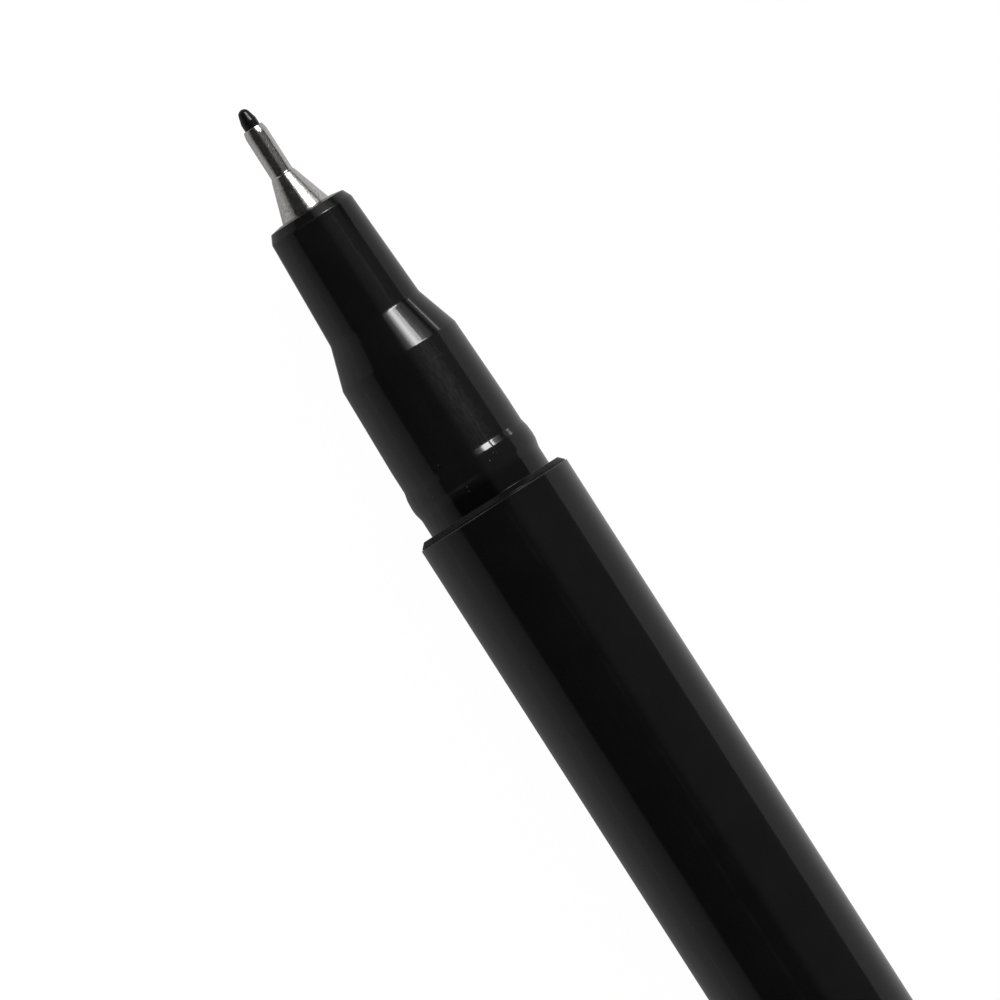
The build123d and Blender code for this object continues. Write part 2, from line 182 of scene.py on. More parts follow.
def black_plastic(
    name, tone=0.0040, draw_lines=(), rubs=(), seam=None, haze=None, dust=None, painted_shade=None, matte=None
):
    """Glossy black moulding of a tone. Draw lines are (angle, from x, to x) in radians and mm, and
    rubs are pale rubs and painted edge highlights, as (x, half width, angle, half angle, paleness).
    The seam is the angle of the nose's parting line, with a painted highlight beside it on the snout.
    Haze, dust, the painted shade and matte are the (from x, to x) of a stretch that is hazy beside
    the seam, holds specks, is darkened as painted shade, or has no polish."""
    material, shader, wire = start_material(name)
    spot, along, around, out = turned_place(wire)
    cloud = wire.noise(spot, 420, 5.0)
    grain = wire.noise(spot, 5200, 2.0)
    streaks = wire.noise(wire.vector(along * 0.12, around * 8, out * 0.3), 2.0, 2.0)

    def stretch(ends, soft):
        return along.rise(ends[0], ends[0] + soft) * along.rise(ends[1], ends[1] - soft)

    shade = (cloud * 0.6 + streaks * 0.3 + 0.55) * tone
    rough = cloud * 0.05 + streaks * 0.03 + 0.075
    height = grain * 0.25 + streaks * 0.8 + cloud * 2.0
    for angle, first, last in draw_lines:
        line = around.bell(angle, 0.016) * stretch((first, last), 6) * cloud.rise(0.25, 0.65)
        shade, height = line * 0.0026 + shade, line * 0.8 + height
    # Painted shade: the neck stretch between shoulder and bead is made darker.
    if painted_shade is not None:
        shade = (1 - stretch(painted_shade, 0.5) * 0.75) * shade
    # Pale rubs, and painted highlights on edges where light would catch.
    for middle, half_width, angle, half_angle, paleness in rubs:
        rub_and_highlight = along.bell(middle, half_width) * around.bell(angle, half_angle) * cloud.rise(0.2, 0.6)
        shade = rub_and_highlight * paleness + shade
    if seam is not None:
        snout, step = (54.5, 61.5), (52.2, 55.3)
        past_neck = along.rise(44.2, 44.6)
        # A pale line beside the seam on the snout is painted: the highlight of the seam's ridge, on a seam
        # rubbed pale.
        seam_highlight_and_rub = around.bell(seam + 0.030, SEAM_WIDTH) * stretch(snout, 0.5) * cloud.rise(0.2, 0.6)
        groove = around.bell(seam, SEAM_WIDTH) * past_neck * (1 - stretch(step, 0.2))
        shade, height = seam_highlight_and_rub * 0.010 + shade, groove * -16 + height
    colour = wire.vector(shade, shade, shade)
    if dust is not None:
        scatter = {"Vector": spot, "Scale": 3600, "Randomness": 1.0}
        cells = wire.node("ShaderNodeTexVoronoi", {}, scatter, "Distance")
        chance = wire.node("ShaderNodeSeparateXYZ", {}, {0: cells.out("Color")})
        pick, size = chance.out("X"), chance.out("Y")
        speck = cells.rise(0.15, 0.08) * pick.rise(0.92, 0.93) * stretch(dust, 0.3) * size
        colour = wire.blend(speck, colour, (0.30, 0.29, 0.28, 1))
    relief = wire.relief(height, 0.0012 * MM)
    feed(shader, base_color=colour, roughness=rough, normal=relief, ior=1.5)
    if haze is not None:
        ragged = wire.noise(wire.vector(along * 0.8, around * 10, 0), 2.0, 3.0).rise(0.25, 0.70) * 0.6 + 0.4
        beside_seam = around.bell(seam - 0.04, 0.20) * stretch(haze, 1.5)
        rubbed = beside_seam * (1 - along.rise(52, 56) * 0.75) * ragged
        feed(shader, coat_weight=rubbed * 0.48, coat_roughness=0.36)
    if matte is not None:
        unpolished = {"Base Color": grey(0.006), "Roughness": 0.7, "IOR": 1.0}
        dull = wire.node("ShaderNodeBsdfPrincipled", {}, unpolished)
        patchy = stretch(matte, 0.03) * (wire.noise(spot, 9000, 2.0).rise(0.2, 0.8) * 0.5 + 0.4)
        mixed = wire.node("ShaderNodeMixShader", {}, {0: patchy, 2: dull})
        wire.tree.links.new(shader.outputs[0], mixed.socket.node.inputs[1])
        wire.tree.links.new(mixed.socket, wire.tree.nodes["Material Output"].inputs["Surface"])
    return material


def rounded_outline(corners, closed=True, arc_steps=10, pitch=1.5 * MM):
    """Points (x, height) along an outline of corners (x, height, rounding): round corners as arcs,
    and long straight runs cut at the pitch, with a point close to each of their ends so that a
    curve's shading stays out of them."""
    count = len(corners)
    runs = []
    for i, (x, h, rounding) in enumerate(corners):
        here = Vector((x, h))
        if rounding == 0 or (not closed and i in (0, count - 1)):
            runs.append([here])
            continue
        before = (Vector(corners[i - 1][:2]) - here).normalized()
        after = (Vector(corners[(i + 1) % count][:2]) - here).normalized()
        half = before.angle(after) / 2
        centre = here + (before + after).normalized() * rounding / sin(half)
        first = here + before * rounding / tan(half) - centre
        sweep = first.angle_signed(here + after * rounding / tan(half) - centre)
        turns = [Matrix.Rotation(-sweep * step / arc_steps, 2) for step in range(arc_steps + 1)]
        runs.append([centre + turn @ first for turn in turns])
    points = []
    for i, run in enumerate(runs):
        points += run
        if not closed and i == count - 1:
            break
        start, end = run[-1], runs[(i + 1) % count][0]
        length = (end - start).length
        guard = min(CORNER_GUARD, length / 4)
        cuts = max(1, round(length / pitch))
        shares = sorted({guard / length, 1 - guard / length} | {step / cuts for step in range(1, cuts)})
        points += [start.lerp(end, share) for share in shares]
    return points + points[:1] if closed else points


def start_tree(name, inputs):
    """A new tree of Geometry Nodes with inputs of names and kinds, and a wire on the first of them."""
    tree = bpy.data.node_groups.new(name, "GeometryNodeTree")
    for label, kind in (inputs | {"Finish": "Material"}).items():
        tree.interface.new_socket(label, in_out="INPUT", socket_type="NodeSocket" + kind)
    tree.interface.new_socket("Piece", in_out="OUTPUT", socket_type="NodeSocketGeometry")
    return Wire(tree, tree.nodes.new("NodeGroupInput").outputs[0])


def end_tree(entry, shape):
    """Gives the shape its finish, as the tree's result."""
    real = entry.node("GeometryNodeRealizeInstances", {}, {"Geometry": shape})
    done = entry.node("GeometryNodeSetMaterial", {}, {"Geometry": real, "Material": entry.out("Finish")})
    leave = entry.tree.nodes.new("NodeGroupOutput")
    entry.tree.links.new(done.socket, leave.inputs[0])
    return entry.tree


def turning_tree():
    """Turns an outline round the X axis. Two parting lines, opposite each other, stand proud as fine
    ridges, and the faces crowd together there so that each ridge has its own faces."""
    inputs = {"Outline": "Geometry", "Sides": "Int"}
    inputs |= dict.fromkeys(("Seam Angle", "Seam Height", "Seam Width", "Crowding"), "Float")
    entry = start_tree("turned piece", inputs)
    sides = entry.out("Sides")
    count = entry.node("GeometryNodeAttributeDomainSize", {}, {"Geometry": entry}, "Point Count")
    grid = entry.node("GeometryNodeMeshGrid", {}, {"Vertices X": sides + 1, "Vertices Y": count}, "Mesh")
    index = entry.node("GeometryNodeInputIndex")
    column = entry.math("FLOOR", (index + 0.5) / count)
    row = index - column * count
    place = entry.node("GeometryNodeInputPosition")
    spot = entry.node(
        "GeometryNodeSampleIndex",
        {"data_type": "FLOAT_VECTOR"},
        {"Geometry": entry, "Value": place, "Index": row},
    )
    marked = entry.node("GeometryNodeInputNamedAttribute", {"data_type": "FLOAT"}, {"Name": "moulded"})
    moulded = entry.node("GeometryNodeSampleIndex", {}, {"Geometry": entry, "Value": marked, "Index": row})
    even = column / sides * (2 * pi)
    off = even - entry.out("Seam Angle")
    angle = even - entry.math("SINE", off * 2) * entry.out("Crowding") / 2
    away = entry.math("SINE", angle - entry.out("Seam Angle")) / entry.out("Seam Width")
    ridge = entry.math("EXPONENT", away * away * -1) * entry.out("Seam Height") * moulded
    split = entry.node("ShaderNodeSeparateXYZ", {}, {0: spot})
    radius = split.out("Z") + ridge
    turned_spot = entry.vector(
        split.out("X"), entry.math("SINE", angle) * radius * -1, entry.math("COSINE", angle) * radius
    )
    turned = entry.node("GeometryNodeSetPosition", {}, {"Geometry": grid, "Position": turned_spot})
    joined = entry.node("GeometryNodeMergeByDistance", {}, {"Geometry": turned, "Distance": MERGE_DISTANCE})
    return end_tree(entry, joined)


def new_object(name, data):
    made = bpy.data.objects.new(name, data)
    bpy.context.scene.collection.objects.link(made)
    return made


def set_inputs(modifier, values):
    """Sets a Geometry Nodes modifier's inputs, each found by its socket's identifier."""
    for item in modifier.node_group.interface.items_tree:
        if item.in_out == "INPUT" and item.name in values:
            modifier[item.identifier] = values[item.name]


def make_plain(piece, finish):
    """Leaves the result of the piece's modifiers as its plain mesh: closed, facing outwards, and
    smooth between corners."""
    bpy.context.view_layer.update()
    evaluated = piece.evaluated_get(bpy.context.evaluated_depsgraph_get())
    mesh = bpy.data.meshes.new_from_object(evaluated)
    piece.modifiers.clear()
    piece.data = mesh
    mesh.name = piece.name
    mesh.materials.clear()
    mesh.materials.append(finish)
    mesh.polygons.foreach_set("material_index", [0] * len(mesh.polygons))
    work = bmesh.new()
    work.from_mesh(mesh)
    bmesh.ops.dissolve_degenerate(work, edges=work.edges, dist=SLIVER_LENGTH)
    bmesh.ops.recalc_face_normals(work, faces=work.faces)
    work.to_mesh(mesh)
    work.free()
    mesh.shade_smooth()
    mesh.set_sharp_from_angle(angle=FACETING_ANGLE)
    return piece


turning = turning_tree()


def turn(name, corners, finish, seam_height=0.0, seam_from=0.0, sides=288, closed=True):
    """A piece turned from an outline of corners. Its parting lines show on points further out than
    seam_from."""
    points = rounded_outline(corners, closed)
    mesh = bpy.data.meshes.new(name + "_outline")
    mesh.from_pydata([(p.x, 0, p.y) for p in points], [(i, i + 1) for i in range(len(points) - 1)], [])
    moulded = mesh.attributes.new("moulded", "FLOAT", "POINT")
    moulded.data.foreach_set("value", [float(p.y > seam_from) for p in points])
    piece = new_object(name, mesh)
    modifier = piece.modifiers.new("turned piece", "NODES")
    modifier.node_group = turning
    crowding = SEAM_CROWDING if seam_height else 0.0
    ridge = {"Seam Angle": SEAM_ANGLE, "Seam Height": seam_height, "Seam Width": SEAM_WIDTH}
    set_inputs(modifier, ridge | {"Sides": sides, "Crowding": crowding, "Finish": finish})
    return make_plain(piece, finish)


barrel_low, barrel_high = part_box("barrel")
barrel_tail, barrel_front = barrel_low.x, barrel_high.x
groove_radius = BARREL_BORE_RADIUS + SNAP_GROOVE_DEPTH
barrel_corners = [
    (barrel_front, BARREL_BORE_RADIUS, EDGE_ROUNDING),
    (barrel_front, BARREL_RADIUS, FRONT_EDGE_ROUNDING),
    (barrel_tail + TAIL_EDGE, BARREL_RADIUS, EDGE_ROUNDING),
    (barrel_tail, BARREL_RADIUS - TAIL_EDGE, EDGE_ROUNDING),
    (barrel_tail, BARREL_BORE_RADIUS, EDGE_ROUNDING),
]
for middle in (barrel_tail + SNAP_INSET, barrel_front - SNAP_INSET):
    barrel_corners += [
        (middle - SNAP_HALF_WIDTH, BARREL_BORE_RADIUS, 0),
        (middle - SNAP_HALF_WIDTH, groove_radius, 0),
        (middle + SNAP_HALF_WIDTH, groove_radius, 0),
        (middle + SNAP_HALF_WIDTH, BARREL_BORE_RADIUS, 0),
    ]
barrel_black = black_plastic(
    "barrel_black",
    draw_lines=[(radians(5.2), 14, 46), (radians(-3.6), -60, 24)],
    rubs=[(42.10, 0.035, 0, 9, 0.055)],
    dust=(41.6, 42.6),
)
barrel = turn("barrel_moulding", barrel_corners, barrel_black)
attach(barrel, "pen")
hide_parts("barrel")

# Nose section
# The front of the pen, one black piece from a two-part mould, whose parting lines run along it: snout, step,
# grip, the bead that the cap snaps on, a shoulder, and a plug with air slots that is pressed into the barrel.
# Places along it are distances ahead of the shoulder's front.
SNOUT_RIM = 19.80 * MM
SNOUT_RIM_RADIUS = 2.465 * MM
SNOUT_BEVEL_END = 19.26 * MM
SNOUT_FRONT_RADIUS = 2.735 * MM
SNOUT_EDGE_ROUNDING = 0.06 * MM
STEP_FRONT = 12.48 * MM
SNOUT_BACK_RADIUS = 3.04 * MM
STEP_FRONT_ROUNDING = 1.0 * MM
STEP_BACK = 9.87 * MM
GRIP_FRONT_RADIUS = 3.865 * MM
STEP_BACK_ROUNDING = 0.35 * MM
GRIP_BACK = 4.40 * MM
GRIP_BACK_RADIUS = 4.02 * MM
BEAD_FRONT = 2.98 * MM
BEAD_FRONT_BREAK = 2.53 * MM
BEAD_FRONT_BREAK_RADIUS = 4.13 * MM
BEAD_CREST = 1.95 * MM
BEAD_CREST_RADIUS = 4.168 * MM
BEAD_BACK_BREAK = 1.60 * MM
BEAD_BACK_BREAK_RADIUS = 4.147 * MM
BEAD_BACK = 1.10 * MM
BEAD_ROUNDING = 0.8 * MM
NECK_RADIUS = 4.03 * MM
SHOULDER_FACE_RADIUS = 4.60 * MM
SHOULDER_BEVEL = 0.30 * MM
SHOULDER_ROUNDING = 0.05 * MM
SHOULDER_RADIUS = 4.905 * MM
SHOULDER_LENGTH = 0.38 * MM
PLUG_RADIUS = 4.02 * MM
PLUG_BORE_RADIUS = 3.07 * MM
GRIP_BORE_RADIUS = 2.8325 * MM
SNOUT_BORE_RADIUS = 1.94 * MM
SLEEVE_SEAT_RADIUS = 1.705 * MM
SLEEVE_SEAT_DEPTH = 5.92 * MM
NIB_GUIDE_THICKNESS = 1.5 * MM
NIB_HOLE_RADIUS = 0.52 * MM
SNAP_RING_HALF_WIDTH = 0.6 * MM
SNAP_RING_RADIUS = 4.14 * MM
VENT_COUNT = 4
VENT_WIDTH = 1.2 * MM
VENT_DEPTH = 1.0 * MM
PARTING_LINE_HEIGHT = 0.0015 * MM


def tooling_tree(operation):
    """Cuts a tool's shape out of a piece, or joins it on, at equal steps round the X axis."""
    inputs = {"Blank": "Geometry", "Tool": "Object", "Count": "Int", "Start Angle": "Float"}
    entry = start_tree("tooled round " + operation.lower(), inputs)
    count = entry.out("Count")
    tool = entry.node("GeometryNodeObjectInfo", {}, {"Object": entry.out("Tool")}, "Geometry")
    line = entry.node("GeometryNodeMeshLine", {}, {"Count": count, "Offset": (0, 0, 0)})
    step = entry.node("GeometryNodeInputIndex") / count * (2 * pi)
    turn_by = entry.vector(step + entry.out("Start Angle"), 0, 0)
    spread = entry.node(
        "GeometryNodeInstanceOnPoints", {}, {"Points": line, "Instance": tool, "Rotation": turn_by}
    )
    tools = entry.node("GeometryNodeRealizeInstances", {}, {"Geometry": spread})
    settings = {"operation": operation, "solver": "EXACT"}
    if operation == "DIFFERENCE":
        done = entry.node("GeometryNodeMeshBoolean", settings, {"Mesh 1": entry, "Mesh 2": tools}, "Mesh")
    else:
        done = entry.node("GeometryNodeMeshBoolean", settings, {"Mesh 2": entry}, "Mesh")
        entry.tree.links.new(tools.socket, done.socket.node.inputs["Mesh 2"])
    return end_tree(entry, done)


cutting = tooling_tree("DIFFERENCE")
joining = tooling_tree("UNION")


def block(low, high):
    """A box between two corners, as a tool."""
    mesh = bpy.data.meshes.new("tool")
    work = bmesh.new()
    bmesh.ops.create_cube(work, size=1.0)
    for vertex in work.verts:
        for i in range(3):
            vertex.co[i] = low[i] if vertex.co[i] < 0 else high[i]
    work.to_mesh(mesh)
    work.free()
    return new_object("tool", mesh)


def tooled(piece, tree, tool, count, start_angle):
    """Cuts the tool out of the piece, or joins it on, count times round the axis from an angle at
    the top."""
    finish = piece.data.materials[0]
    modifier = piece.modifiers.new("tooled round", "NODES")
    modifier.node_group = tree
    set_inputs(modifier, {"Tool": tool, "Count": count, "Start Angle": start_angle, "Finish": finish})
    make_plain(piece, finish)
    bpy.data.objects.remove(tool)


def snap_ring(middle):
    """The outline of the ring round a plug, from its front to its back."""
    front, back = middle + SNAP_RING_HALF_WIDTH, middle - SNAP_RING_HALF_WIDTH
    rise = [(front, PLUG_RADIUS, 0), (front, SNAP_RING_RADIUS, 0)]
    return rise + [(back, SNAP_RING_RADIUS, 0), (back, PLUG_RADIUS, 0)]


nose_low, nose_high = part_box("nose_section")
snout_face, plug_end = nose_high.x, nose_low.x
shoulder_front = barrel_front + SHOULDER_LENGTH
step_front, step_back = shoulder_front + STEP_FRONT, shoulder_front + STEP_BACK
seat_floor = snout_face - SLEEVE_SEAT_DEPTH
guide_back = seat_floor - NIB_GUIDE_THICKNESS
nose_corners = [
    (snout_face, SLEEVE_SEAT_RADIUS, EDGE_ROUNDING),
    (shoulder_front + SNOUT_RIM, SNOUT_RIM_RADIUS, SNOUT_EDGE_ROUNDING),
    (shoulder_front + SNOUT_BEVEL_END, SNOUT_FRONT_RADIUS, 3 * SNOUT_EDGE_ROUNDING),
    (step_front, SNOUT_BACK_RADIUS, STEP_FRONT_ROUNDING),
    (step_back, GRIP_FRONT_RADIUS, STEP_BACK_ROUNDING),
    (shoulder_front + GRIP_BACK, GRIP_BACK_RADIUS, 0),
    (shoulder_front + BEAD_FRONT, GRIP_BACK_RADIUS, BEAD_ROUNDING),
    (shoulder_front + BEAD_FRONT_BREAK, BEAD_FRONT_BREAK_RADIUS, BEAD_ROUNDING),
    (shoulder_front + BEAD_CREST, BEAD_CREST_RADIUS, BEAD_ROUNDING),
    (shoulder_front + BEAD_BACK_BREAK, BEAD_BACK_BREAK_RADIUS, BEAD_ROUNDING),
    (shoulder_front + BEAD_BACK, NECK_RADIUS, BEAD_ROUNDING),
    (shoulder_front, NECK_RADIUS, EDGE_ROUNDING),
    (shoulder_front, SHOULDER_FACE_RADIUS, EDGE_ROUNDING),
    (shoulder_front - SHOULDER_BEVEL, SHOULDER_FACE_RADIUS + SHOULDER_BEVEL, SHOULDER_ROUNDING),
    (barrel_front, SHOULDER_RADIUS, 0),
    (barrel_front, PLUG_RADIUS, 0),
    *snap_ring(barrel_front - SNAP_INSET),
    (plug_end, PLUG_RADIUS, 0),
    (plug_end, PLUG_BORE_RADIUS, 0),
    (step_back, GRIP_BORE_RADIUS, 0),
    (step_front, SNOUT_BORE_RADIUS, 0),
    (guide_back, SNOUT_BORE_RADIUS, 0),
    (guide_back, NIB_HOLE_RADIUS, 0),
    (seat_floor, NIB_HOLE_RADIUS, 0),
    (seat_floor, SLEEVE_SEAT_RADIUS, 0),
]
nose_black = black_plastic(
    "nose_black",
    tone=0.0050,
    seam=SEAM_ANGLE,
    # The first rub is a painted highlight on the rear edge of the snout's bevel; the others are pale rubs.
    rubs=[(61.74, 0.03, 0.4, 0.6, 0.02), (51.18, 0.04, 0.5, 0.16, 0.010), (44.05, 0.09, -0.25, 0.30, 0.009)],
    haze=(44.5, 63.0),
    dust=(42.4, 46.4),
    # The neck between shoulder and bead is darkened with painted shade.
    painted_shade=(42.0, 43.9),
    matte=(42.0, 42.5),
)
nose = turn("nose_moulding", nose_corners, nose_black, PARTING_LINE_HEIGHT, SLEEVE_SEAT_RADIUS)
vent = block(
    (plug_end - VENT_DEPTH, -VENT_WIDTH / 2, PLUG_BORE_RADIUS / 2),
    (plug_end + VENT_DEPTH, VENT_WIDTH / 2, 2 * PLUG_RADIUS),
)
tooled(nose, cutting, vent, VENT_COUNT, 0)
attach(nose, "pen")
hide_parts("nose_section")

# Nib sleeve
# A thin cup of bright steel, drawn into a tube, a cone and a shank that is pressed into the snout.
# Its front lip is rolled in to hold the nib, and drawing has left fine rings round the cone.
SLEEVE_TUBE_RADIUS = 0.706 * MM
SLEEVE_LIP_RADIUS = 0.622 * MM
SLEEVE_LIP_LENGTH = 0.39 * MM
SLEEVE_LIP_EDGE = 0.05 * MM
SLEEVE_LIP_ROLL = 1.0 * MM
SLEEVE_WALL = 0.19 * MM
SLEEVE_TUBE_LENGTH = 3.17 * MM
SLEEVE_STEP_LENGTH = 0.11 * MM
SLEEVE_CONE_RADIUS = 0.778 * MM
SLEEVE_NECK_ROUNDING = 0.12 * MM
SLEEVE_CONE_ANGLE = radians(17.9)
SLEEVE_SHANK_RADIUS = 1.69 * MM


def drawn_steel(name):
    """Bright steel with fine rings and lengthwise rubs from the drawing die, and patches scuffed dull."""
    material, shader, wire = start_material(name)
    spot, along, around, out = turned_place(wire)
    rings = wire.noise(wire.vector(along * 9, out * 2, 0), 3.0, 3.0)
    rubs = wire.noise(wire.vector(along * 0.4, around * 14, 0), 3.0, 3.0)
    cloud = wire.noise(spot, 900, 3.0)
    scuffs = wire.noise(wire.vector(along * 2.5 + around, around * 6 - along, 0), 2.0, 3.0)
    patches = scuffs.rise(0.34, 0.68)
    tone = cloud * 0.2 + rubs * 0.4 + patches * 0.6 - 0.08
    colour = wire.blend(tone, (0.57, 0.55, 0.515, 1), (0.96, 0.95, 0.925, 1))
    rough = cloud * 0.05 + rubs * 0.06 + patches * 0.14 + 0.02
    relief = wire.relief(rings * 0.6 + rubs + scuffs * 0.6, 0.003 * MM)
    feed(shader, base_color=colour, metallic=1.0, roughness=rough, normal=relief)
    return material


sleeve_low, sleeve_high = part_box("nib_sleeve")
sleeve_back, sleeve_front = sleeve_low.x, sleeve_high.x
tube_back = sleeve_front - SLEEVE_TUBE_LENGTH
cone_front = tube_back - SLEEVE_STEP_LENGTH
shank_front = cone_front - (SLEEVE_SHANK_RADIUS - SLEEVE_CONE_RADIUS) / tan(SLEEVE_CONE_ANGLE)
sleeve_corners = [
    (sleeve_front, SLEEVE_TUBE_RADIUS - SLEEVE_WALL, EDGE_ROUNDING),
    (sleeve_front, SLEEVE_LIP_RADIUS, SLEEVE_LIP_EDGE),
    (sleeve_front - SLEEVE_LIP_LENGTH, SLEEVE_TUBE_RADIUS, SLEEVE_LIP_ROLL),
    (tube_back, SLEEVE_TUBE_RADIUS, SLEEVE_NECK_ROUNDING),
    (cone_front, SLEEVE_CONE_RADIUS, SLEEVE_NECK_ROUNDING),
    (shank_front, SLEEVE_SHANK_RADIUS, 0),
    (sleeve_back, SLEEVE_SHANK_RADIUS, 0),
    (sleeve_back, SLEEVE_SHANK_RADIUS - SLEEVE_WALL, 0),
    (shank_front, SLEEVE_SHANK_RADIUS - SLEEVE_WALL, 0),
    (tube_back, SLEEVE_TUBE_RADIUS - SLEEVE_WALL, 0),
]
sleeve = turn("nib_sleeve_drawn", sleeve_corners, drawn_steel("sleeve_bright_steel"), sides=192)
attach(sleeve, "pen")
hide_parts("nib_sleeve")

# Nib
# A rod of bonded fibre ground to a rounded, tapered point, black and wet with ink.
# It runs back through the sleeve and the nose into the reservoir, which feeds it.
NIB_RADIUS = 0.49 * MM
NIB_TIP_RADIUS = 0.36 * MM
NIB_TAPER_ANGLE = radians(15.5)
NIB_TIP_STEPS = 14


def wet_fibre(name, dry, wet, shine):
    """Bonded fibres along the axis, soaked with ink: colours where dry and wet, and the wet roughness."""
    material, shader, wire = start_material(name)
    spot, along, around, out = turned_place(wire)
    strands = wire.noise(wire.vector(along * 0.5, around * 18, out * 6), 3.0, 3.0)
    pools = wire.noise(spot, 2600, 3.0)
    colour = wire.blend(strands.rise(0.45, 0.75), wet, dry)
    rough = strands * 0.14 + pools * 0.10 + shine
    relief = wire.relief(strands + pools, 0.003 * MM)
    feed(shader, base_color=colour, roughness=rough, normal=relief, ior=1.45)
    return material


nib_low, nib_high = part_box("nib")
nib_back, nib_tip = nib_low.x, nib_high.x
tip_centre = nib_tip - NIB_TIP_RADIUS
nib_corners = [(nib_back, 0, 0), (nib_back, NIB_RADIUS, EDGE_ROUNDING)]
shoulder = tip_centre + NIB_TIP_RADIUS * sin(NIB_TAPER_ANGLE)
taper_length = (NIB_RADIUS - NIB_TIP_RADIUS * cos(NIB_TAPER_ANGLE)) / tan(NIB_TAPER_ANGLE)
nib_corners.append((shoulder - taper_length, NIB_RADIUS, 0))
for step in range(NIB_TIP_STEPS + 1):
    angle = NIB_TAPER_ANGLE + (pi / 2 - NIB_TAPER_ANGLE) * step / NIB_TIP_STEPS
    nib_corners.append((tip_centre + NIB_TIP_RADIUS * sin(angle), NIB_TIP_RADIUS * cos(angle), 0))
nib_ink = wet_fibre("nib_inked", (0.010, 0.010, 0.011, 1), (0.003, 0.003, 0.003, 1), 0.10)
nib = turn("nib_point", nib_corners, nib_ink, sides=128, closed=False)
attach(nib, "pen")
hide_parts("nib")

# Ink reservoir and its wrap
# A rod of fibre soaked with black ink, rolled in a thin clear film, which fills the barrel behind the nose.
# Both stay as the solids that they are: neither shows unless the pen is opened.
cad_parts["ink_reservoir"].data.materials.clear()
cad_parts["ink_reservoir"].data.materials.append(
    wet_fibre("reservoir_inked", (0.060, 0.060, 0.065, 1), (0.008, 0.008, 0.009, 1), 0.45)
)


def clear_film(name):
    """Thin wrapped film, clouded and creased along the rod."""
    material, shader, wire = start_material(name)
    spot, along, around, out = turned_place(wire)
    creases = wire.noise(wire.vector(along * 0.2, around * 5, out), 3.0, 4.0)
    colour = wire.blend(creases, (0.30, 0.31, 0.32, 1), (0.62, 0.63, 0.64, 1))
    relief = wire.relief(creases, 0.01 * MM)
    feed(shader, base_color=colour, roughness=creases * 0.2 + 0.15, normal=relief)
    return material


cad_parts["reservoir_wrap"].data.materials.clear()
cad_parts["reservoir_wrap"].data.materials.append(clear_film("wrap_clouded_film"))

# Tail plug
# A black moulding that closes the barrel: a plug with a snap ring and crossed fins, a flange as wide as
# the barrel, and the hollow post that the cap is pushed on while the pen is in use.
FLANGE_THICKNESS = 1.88 * MM
FLANGE_ROUNDING = 0.15 * MM
POST_RADIUS = 4.03 * MM
POST_ROUNDING = 0.8 * MM
POST_FOOT_ROUNDING = 0.1 * MM
POST_FLOOR = 1.2 * MM
POST_BORE_RADIUS = 3.03 * MM
PLUG_LENGTH = 9.0 * MM
FIN_THICKNESS = 0.8 * MM
FIN_REACH = 0.5 * MM
FIN_DEPTH = 2.0 * MM
FIN_BITE = 0.12 * MM
post_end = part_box("tail_plug")[0].x
flange_back = barrel_tail - FLANGE_THICKNESS
tail_plug_end = barrel_tail + PLUG_LENGTH
tail_corners = [
    (tail_plug_end, PLUG_BORE_RADIUS, 0),
    (tail_plug_end, PLUG_RADIUS, EDGE_ROUNDING),
    *snap_ring(barrel_tail + SNAP_INSET),
    (barrel_tail, PLUG_RADIUS, 0),
    (barrel_tail, BARREL_RADIUS, FLANGE_ROUNDING),
    (flange_back, BARREL_RADIUS, FLANGE_ROUNDING),
    (flange_back, POST_RADIUS, POST_FOOT_ROUNDING),
    (post_end, POST_RADIUS, POST_ROUNDING),
    (post_end, 0, 0),
    (post_end + POST_FLOOR, 0, 0),
    (post_end + POST_FLOOR, POST_BORE_RADIUS, 0),
    (flange_back, POST_BORE_RADIUS, 0),
]
tail_black = black_plastic("tail_black")
tail = turn("tail_moulding", tail_corners, tail_black, PARTING_LINE_HEIGHT, PLUG_RADIUS)
fin_ends = (barrel_tail - FIN_DEPTH, tail_plug_end + FIN_REACH)
fin_half, fin_root = FIN_THICKNESS / 2, PLUG_BORE_RADIUS + FIN_BITE
fin = block((fin_ends[0], -fin_half, -fin_root), (fin_ends[1], fin_half, fin_root))
cross_fin = block((fin_ends[0], -fin_root, -fin_half), (fin_ends[1], fin_root, fin_half))
tooled(tail, joining, fin, 1, 0)
tooled(tail, joining, cross_fin, 1, 0)
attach(tail, "pen")
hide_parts("tail_plug")

# Cap shell
# The cap's outer tube, of the barrel's black plastic and as thick, with a bevelled mouth.
# A rib in its bore snaps behind the bead on the nose, and a notch at its closed end takes the clip's tab.
CAP_BORE_RADIUS = 4.2 * MM
CAP_LEAD_IN = 0.25 * MM
CAP_RIM_DEPTH = 0.40 * MM
CAP_RIM_DROP = 0.35 * MM
CAP_RIM_ROUNDING = 0.25 * MM
SNAP_RIB_PLACE = 3.4 * MM
SNAP_RIB_RADIUS = 4.06 * MM
SNAP_RIB_CREST = 0.3 * MM
SNAP_RIB_SLOPE = 0.3 * MM
CLIP_WIDTH = 3.2 * MM
CLIP_ROLL = radians(63.5)
NOTCH_DEPTH = 1.0 * MM
NOTCH_SIDE_CLEARANCE = 0.12 * MM
NOTCH_FLOOR = 3.0 * MM
shell_low, shell_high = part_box("cap_shell")
shell_end, cap_mouth = shell_low.x, shell_high.x
rib_middle = cap_mouth - SNAP_RIB_PLACE
rib_foot = SNAP_RIB_CREST / 2 + SNAP_RIB_SLOPE
